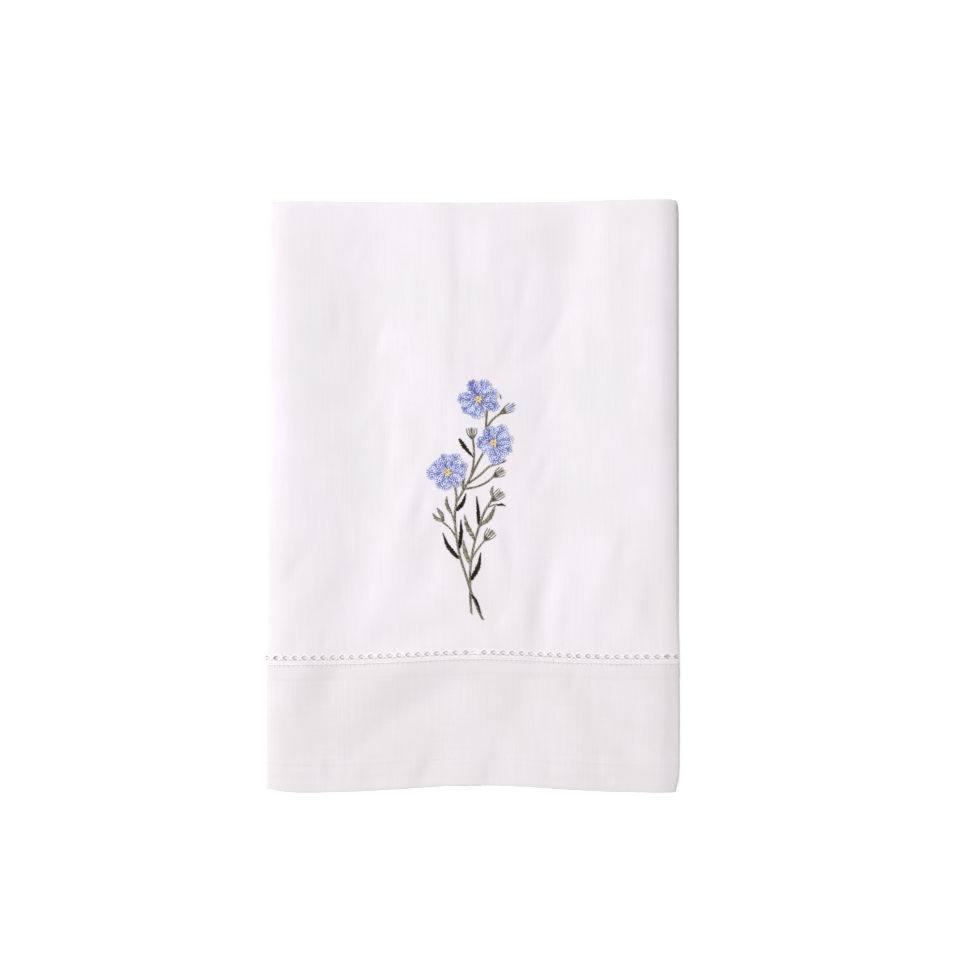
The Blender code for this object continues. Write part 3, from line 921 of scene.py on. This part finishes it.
def petal_loops(centre, petal):
    """The loops of one petal, row upon row, and those round its end."""
    angle = math.radians(petal.turn)
    way = turned(angle)
    aside = left_of(way)
    for number, share in enumerate(LOOP_ROWS):
        half = petal_half_width(share, petal.width / 2)
        count = max(1, round(2 * half / LOOP_SPACING - 0.3))
        for index in range(count):
            fan = (-1 + 2 * (index + 0.5 + 0.25 * (number % 2)) / count) * 0.84
            place = centre + way * (petal.length * share - LOOP_LENGTH / 2) + aside * fan * half
            place = place + np.array([dice.uniform(-0.14, 0.14), dice.uniform(-0.14, 0.14)])
            lean = turned(angle + fan * 0.4 + dice.uniform(-0.45, 0.45))
            shades = PALE_LOOPS if (index + number) % 2 else DEEPER_LOOPS
            tone = petal.tone + dice.uniform(*shades) + 0.08 * (number - 1)
            yield loop_strand(
                place, lean, LOOP_LENGTH * dice.uniform(0.8, 1.1), LOOP_WIDTH * dice.uniform(0.8, 1.1),
                tone, (0.3 + 0.03 * number) * MM)
    around = max(4, round(petal.width * 1.5 / RIM_SPACING))
    for index in range(around):
        bend = RIM_BEND * (-1 + 2 * (index + 0.5) / around)
        out_to = petal.length * (WIDEST_AT + math.cos(bend) * (1 - WIDEST_AT) * 0.62)
        rim = centre + way * out_to + aside * math.sin(bend) * petal.width * 0.33
        lean = turned(angle + bend + dice.uniform(-0.3, 0.3))
        yield loop_strand(
            rim, lean, RIM_LENGTH * dice.uniform(0.85, 1.15), LOOP_WIDTH * dice.uniform(0.9, 1.2),
            petal.tone + dice.uniform(0.55, 1.0), 0.32 * MM)


ground_strands, loop_strands = [], []
for heart, petals in BLOSSOMS:
    for petal in petals:
        ground_strands += petal_ground(np.array(heart), Petal(*petal))
        loop_strands += petal_loops(np.array(heart), Petal(*petal))
petal_stitches = lay_strands("blossom_stitches", ground_strands)
loops = lay_strands("blossom_loops", loop_strands, sides=5)

# %% [markdown]
# The heart of each blossom is a star of pale golden loops, with short orange and brown
# stitches that show between them.

# %% Work the hearts
HEART_RAYS = 6
HEART_OUT = 0.62 * MM


def heart_strands(centre):
    """A star of pale golden loops, with brown and orange stitches between them."""
    for index in range(HEART_RAYS):
        turn = 2 * math.pi * index / HEART_RAYS + dice.uniform(-0.2, 0.2)
        way, between = turned(turn), turned(turn + math.pi / HEART_RAYS)
        for near, far, tone in ((0.3, 1.0, 0.45), (1.0, 1.75, dice.uniform(0.0, 0.3))):
            line = [sprig_place(centre + between * reach, SURFACE + HEART_OUT)
                    for reach in np.linspace(near, far, LOOP_STEPS + 1)]
            yield Strand(np.array(line), 0.22 * MM, 0.18 * MM, tone)
        yield loop_strand(
            centre + way * 0.35, way, 1.25 * dice.uniform(0.8, 1.15), 0.5, dice.uniform(0.8, 1.15),
            HEART_OUT + 0.08 * MM)


heart_loops = [strand for heart, _ in BLOSSOMS for strand in heart_strands(np.array(heart))]
hearts = lay_strands("blossom_hearts", heart_loops, sides=5)

# %% [markdown]
# Linen is a plain weave of uneven yarns. Its colour could be a photograph, but a pattern
# worked out from the flat cut is sharp at any distance. Small humps where the yarns cross
# give the weave, and they also paint the colour a little lighter on the yarns and darker
# between them, as painted light and shade. Two stretched noises, one along each set of
# yarns, give the slubs.
# The deep hem is painted greyer and warmer, as painted shade where the light falls off
# towards the bottom, and a weaker share of that painted shade fades out above it. The end
# hem's stitches, which lie beneath the deep hem, press a faint dashed line of dents into
# it, and the dents are painted darker as painted shade.

# %% Weave the linen
YARN_PITCH = 0.38 * MM
LINEN_SHADES = ((0.48, (0.765, 0.742, 0.787)), (0.84, (0.815, 0.797, 0.848)))
# painted shade: the deep hem's colour is multiplied greyer and warmer, as where the light falls off
# towards the bottom
HEM_PAINTED_SHADE = (0.93, 0.915, 0.90, 1)
PATCH_SHADE = (0.965, 0.975, 0.955, 1)
# how far up, and how strongly, a weaker share of the hem's painted shade reaches above it
PAINTED_SHADE_FADE_LENGTH = 90 * MM
PAINTED_SHADE_ABOVE_HEM = 0.3
# where the end hem's running stitches lie beneath the deep hem, which they dent in a dashed line
DASHED_DENTS_ALONG = END_HEM_LOW_Y + END_HEM_DEPTH - RUN_INSET - BOTTOM_Y


class Shading:
    """A new material, and short ways to add to its nodes."""

    def __init__(self, name, inputs):
        self.material = bpy.data.materials.new(name)
        self.material.use_nodes = True
        self.tree = self.material.node_tree
        self.shader = self.tree.nodes["Principled BSDF"]
        self.feed(self.shader, inputs)

    def feed(self, node, inputs):
        """Set a node's inputs, by name or number, or link sockets to them."""
        for key, value in inputs.items():
            if isinstance(value, bpy.types.NodeSocket):
                self.tree.links.new(value, node.inputs[key])
            else:
                node.inputs[key].default_value = value

    def node(self, kind, inputs, **settings):
        """A new node with its settings and its inputs."""
        made = self.tree.nodes.new("ShaderNode" + kind)
        for key, value in settings.items():
            setattr(made, key, value)
        self.feed(made, inputs)
        return made

    def calc(self, operation, *values, clamp=False):
        """One calculation, from sockets or numbers."""
        inputs = dict(enumerate(values))
        return self.node("Math", inputs, operation=operation, use_clamp=clamp).outputs[0]

    def map_axes(self, uv_map):
        """A UV map and its two axes."""
        place = self.node("UVMap", {}, uv_map=uv_map).outputs["UV"]
        axes = self.node("SeparateXYZ", {"Vector": place}).outputs
        return place, axes["X"], axes["Y"]

    def noise(self, place, marks, detail):
        """A noise stretched along the warp or the weft, in marks per metre."""
        mapped = self.node("Mapping", {"Vector": place, "Scale": marks}).outputs["Vector"]
        inputs = {"Vector": mapped, "Scale": 1.0, "Detail": detail, "Roughness": 0.6}
        return self.node("TexNoise", inputs).outputs["Fac"]

    def ramp(self, tone, shades):
        """The colour at a tone, from a row of shades."""
        made = self.node("ValToRGB", {"Fac": tone})
        elements = made.color_ramp.elements
        while len(elements) < len(shades):
            elements.new(0.5)
        for element, (position, colour) in zip(elements, shades):
            element.position = position
            element.color = (*colour, 1)
        return made.outputs["Color"]

    def tinted(self, colour, tint, share):
        """A colour multiplied by a tint, by a share."""
        inputs = {"Factor": share, 6: colour, 7: tint}
        return self.node("Mix", inputs, data_type="RGBA", blend_type="MULTIPLY").outputs[2]

    def finish(self, colour, height, strength, distance):
        """Give the shader its colour and its relief."""
        bump = self.node("Bump", {"Height": height, "Strength": strength, "Distance": distance})
        self.feed(self.shader, {"Base Color": colour, "Normal": bump.outputs["Normal"]})
        return self.material


def linen_material():
    """White linen: woven humps, slubs along both yarns, soft mottling, painted light and shade on the
    humps and dents, and painted shade on and above the deep hem.
    """
    linen = Shading("white_linen", {
        "Roughness": 0.88, "Sheen Weight": 0.05, "Sheen Roughness": 0.5, "Specular IOR Level": 0.2})
    calc, noise = linen.calc, linen.noise
    place, across, along = linen.map_axes("flat_cut")
    on_hem = calc("MULTIPLY_ADD", along, -1 / MM, HEM_DEPTH / MM + 1, clamp=True)
    shade_fading_above_hem = calc("MULTIPLY_ADD", along, -1 / PAINTED_SHADE_FADE_LENGTH, 1 + HEM_DEPTH / PAINTED_SHADE_FADE_LENGTH, clamp=True)

    warp_slubs, weft_slubs = noise(place, (1000, 40, 1), 3), noise(place, (60, 900, 1), 3)
    weft_share = calc("MULTIPLY_ADD", on_hem, 0.35, 0.25)
    slubs = calc("MULTIPLY_ADD", weft_slubs, weft_share, warp_slubs)
    mottling = noise(place, (60, 45, 1), 3)
    # the humps are a bump, and in the tone below they are also painted light on the yarns and painted
    # shade between them
    humps = [calc("ABSOLUTE", calc("SINE", calc("MULTIPLY", axis, math.pi / YARN_PITCH)))
             for axis in (across, along)]
    weave = calc("MULTIPLY", *humps)

    # the dashed dents: pressed in by the bump, and painted darker in the tone as painted shade
    dashes = calc("SINE", calc("MULTIPLY", across, 2 * math.pi / RUN_PITCH))
    on_line = calc("COMPARE", along, DASHED_DENTS_ALONG, 0.2 * MM)
    pressed = calc("MULTIPLY", calc("MULTIPLY", on_line, calc("GREATER_THAN", dashes, 0.0)), mottling)

    height = calc("MULTIPLY_ADD", pressed, -1.6, calc("MULTIPLY_ADD", slubs, 1.1, weave))
    # painted shade: the dashed dents make the tone darker
    tone = calc("MULTIPLY", slubs, 0.5)
    for part, share in ((mottling, 0.42), (weave, 0.12), (pressed, -0.6)):
        tone = calc("MULTIPLY_ADD", part, share, tone)
    # painted shade: full on the deep hem, and a weaker share above it that fades out upwards
    painted_shade_share = calc("MULTIPLY_ADD", on_hem, 1 - PAINTED_SHADE_ABOVE_HEM, calc("MULTIPLY", shade_fading_above_hem, PAINTED_SHADE_ABOVE_HEM))
    colour = linen.tinted(linen.ramp(tone, LINEN_SHADES), HEM_PAINTED_SHADE, painted_shade_share)
    patches = {"Value": noise(place, (26, 18, 1), 2), "From Min": 0.4, "From Max": 0.62}
    colour = linen.tinted(colour, PATCH_SHADE, linen.node("MapRange", patches).outputs["Result"])
    return linen.finish(colour, height, 0.55, 0.07 * MM)


cloth.data.materials.append(linen_material())

# %% [markdown]
# Thread is two plies twisted together, with more shine than the cloth. Each strand's UV
# map runs along it and round it, so a slanting wave makes the twist. The same wave paints
# the colour a little lighter on the plies and darker in the grooves, as painted light and
# shade. A piece worked in several shades takes them from the tone of each strand.

# %% Dye the threads
TWIST_PITCH = 0.55 * MM
Dye = namedtuple("Dye", "shades roughness shine")
DYES = {
    "white_thread": Dye(((0, (0.80, 0.77, 0.80)), (1, (0.90, 0.88, 0.90))), 0.5, 0.3),
    "blue_thread": Dye((
        (0, (0.13, 0.16, 0.42)), (0.35, (0.26, 0.31, 0.68)), (0.7, (0.47, 0.52, 0.87)),
        (1, (0.80, 0.83, 0.98))), 0.5, 0.2),
    "yellow_thread": Dye((
        (0, (0.28, 0.13, 0.04)), (0.5, (0.66, 0.40, 0.11)), (1, (0.98, 0.82, 0.42))), 0.45, 0.3),
    "stem_thread": Dye((
        (0, (0.011, 0.006, 0.003)), (0.3, (0.040, 0.027, 0.016)), (0.55, (0.12, 0.104, 0.068)),
        (0.8, (0.25, 0.225, 0.155)), (1, (0.52, 0.49, 0.41))), 0.6, 0.1),
}


def thread_material(name, dye):
    """Twisted thread in the shades of one dye."""
    thread = Shading(name, {
        "Roughness": dye.roughness, "Sheen Weight": dye.shine / 10, "Specular IOR Level": dye.shine})
    calc = thread.calc
    _, along, around = thread.map_axes("strand")
    length_turns = calc("MULTIPLY", along, 2 * math.pi / TWIST_PITCH)
    twist = calc("SINE", calc("ADD", length_turns, calc("MULTIPLY", around, 4 * math.pi)))
    tone = thread.node("Attribute", {}, attribute_name="tone").outputs["Fac"]
    # painted light and shade: the twist's ridges make the tone a little lighter and its grooves a little
    # darker
    tone_with_ply_shade = calc("ADD", tone, calc("MULTIPLY", twist, 0.05))
    return thread.finish(thread.ramp(tone_with_ply_shade, dye.shades), twist, 0.6, 0.05 * MM)


threads = {name: thread_material(name, dye) for name, dye in DYES.items()}
PIECES_BY_THREAD = {
    "white_thread": (lattice, cord, edging, hem_running),
    "blue_thread": (petal_stitches, loops, bud_tips),
    "yellow_thread": (hearts,),
    "stem_thread": (stems, leaves, buds),
}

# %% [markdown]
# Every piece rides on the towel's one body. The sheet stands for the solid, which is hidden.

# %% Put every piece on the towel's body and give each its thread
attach(cloth, "root")
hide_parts("towel")
for slot, pieces in PIECES_BY_THREAD.items():
    for piece in pieces:
        piece.data.materials.clear()
        piece.data.materials.append(threads[slot])
        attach(piece, "root")

# %% [markdown]
# The towel lies on a plain white table in soft studio light that comes mostly from high up
# on the left, so its left fold is bright and its right fold falls into shade. The camera
# looks straight down.

# %% Set the table, the light and the camera
FRAME_WIDTH = 415.7 * MM
CAMERA_HEIGHT = 1.5
CAMERA_X, CAMERA_Y = 3.57 * MM, 6.71 * MM
SENSOR = 36
TOWEL_TOP = 7.6 * MM
KEY_PLACE = (-4.2, 1.0, 6.4)
KEY_SIZE = 9.0
KEY_POWER = 722


def make_table():
    """A wide flat table top just under the towel."""
    flat = bmesh.new()
    bmesh.ops.create_grid(flat, x_segments=1, y_segments=1, size=3)
    for vertex in flat.verts:
        vertex.co.z = solid_low[2] - 0.1 * MM
    table = add_mesh("table_top", flat)
    white = Shading("table_white", {
        "Base Color": (0.9, 0.9, 0.9, 1), "Emission Color": (1, 1, 1, 1),
        "Emission Strength": 0.45, "Roughness": 0.9, "Specular IOR Level": 0.1})
    table.data.materials.append(white.material)
    table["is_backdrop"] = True


make_table()
key = add_object("key", bpy.data.lights.new("key", "AREA"))
key.data.color = (0.991, 0.989, 0.993)
key.data.size = KEY_SIZE
key.data.energy = KEY_POWER
key.location = KEY_PLACE
key.rotation_euler = (-Vector(KEY_PLACE)).to_track_quat("-Z", "Y").to_euler()

scene = bpy.context.scene
scene.world = bpy.data.worlds.new("studio")
scene.world.use_nodes = True
sky = scene.world.node_tree.nodes["Background"].inputs
sky["Color"].default_value = (1, 0.968, 0.94, 1)
sky["Strength"].default_value = 0.466
scene.view_settings.view_transform = "Standard"

scene.camera = add_object("camera", bpy.data.cameras.new("camera"))
scene.camera.data.sensor_width = SENSOR
scene.camera.data.lens = SENSOR * (CAMERA_HEIGHT - TOWEL_TOP) / FRAME_WIDTH
scene.camera.location = (CAMERA_X, CAMERA_Y, CAMERA_HEIGHT)

# %% [markdown]
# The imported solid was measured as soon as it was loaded. The dressed towel is measured
# last, so that the two boxes can be compared.

# %% Measure the dressed towel and finish
visual_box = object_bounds()
boxes = {"cad": [list(end) for end in cad_box], "visual": [list(end) for end in visual_box]}
print("the visual box in mm:", [[round(value / MM, 2) for value in end] for end in boxes["visual"]])
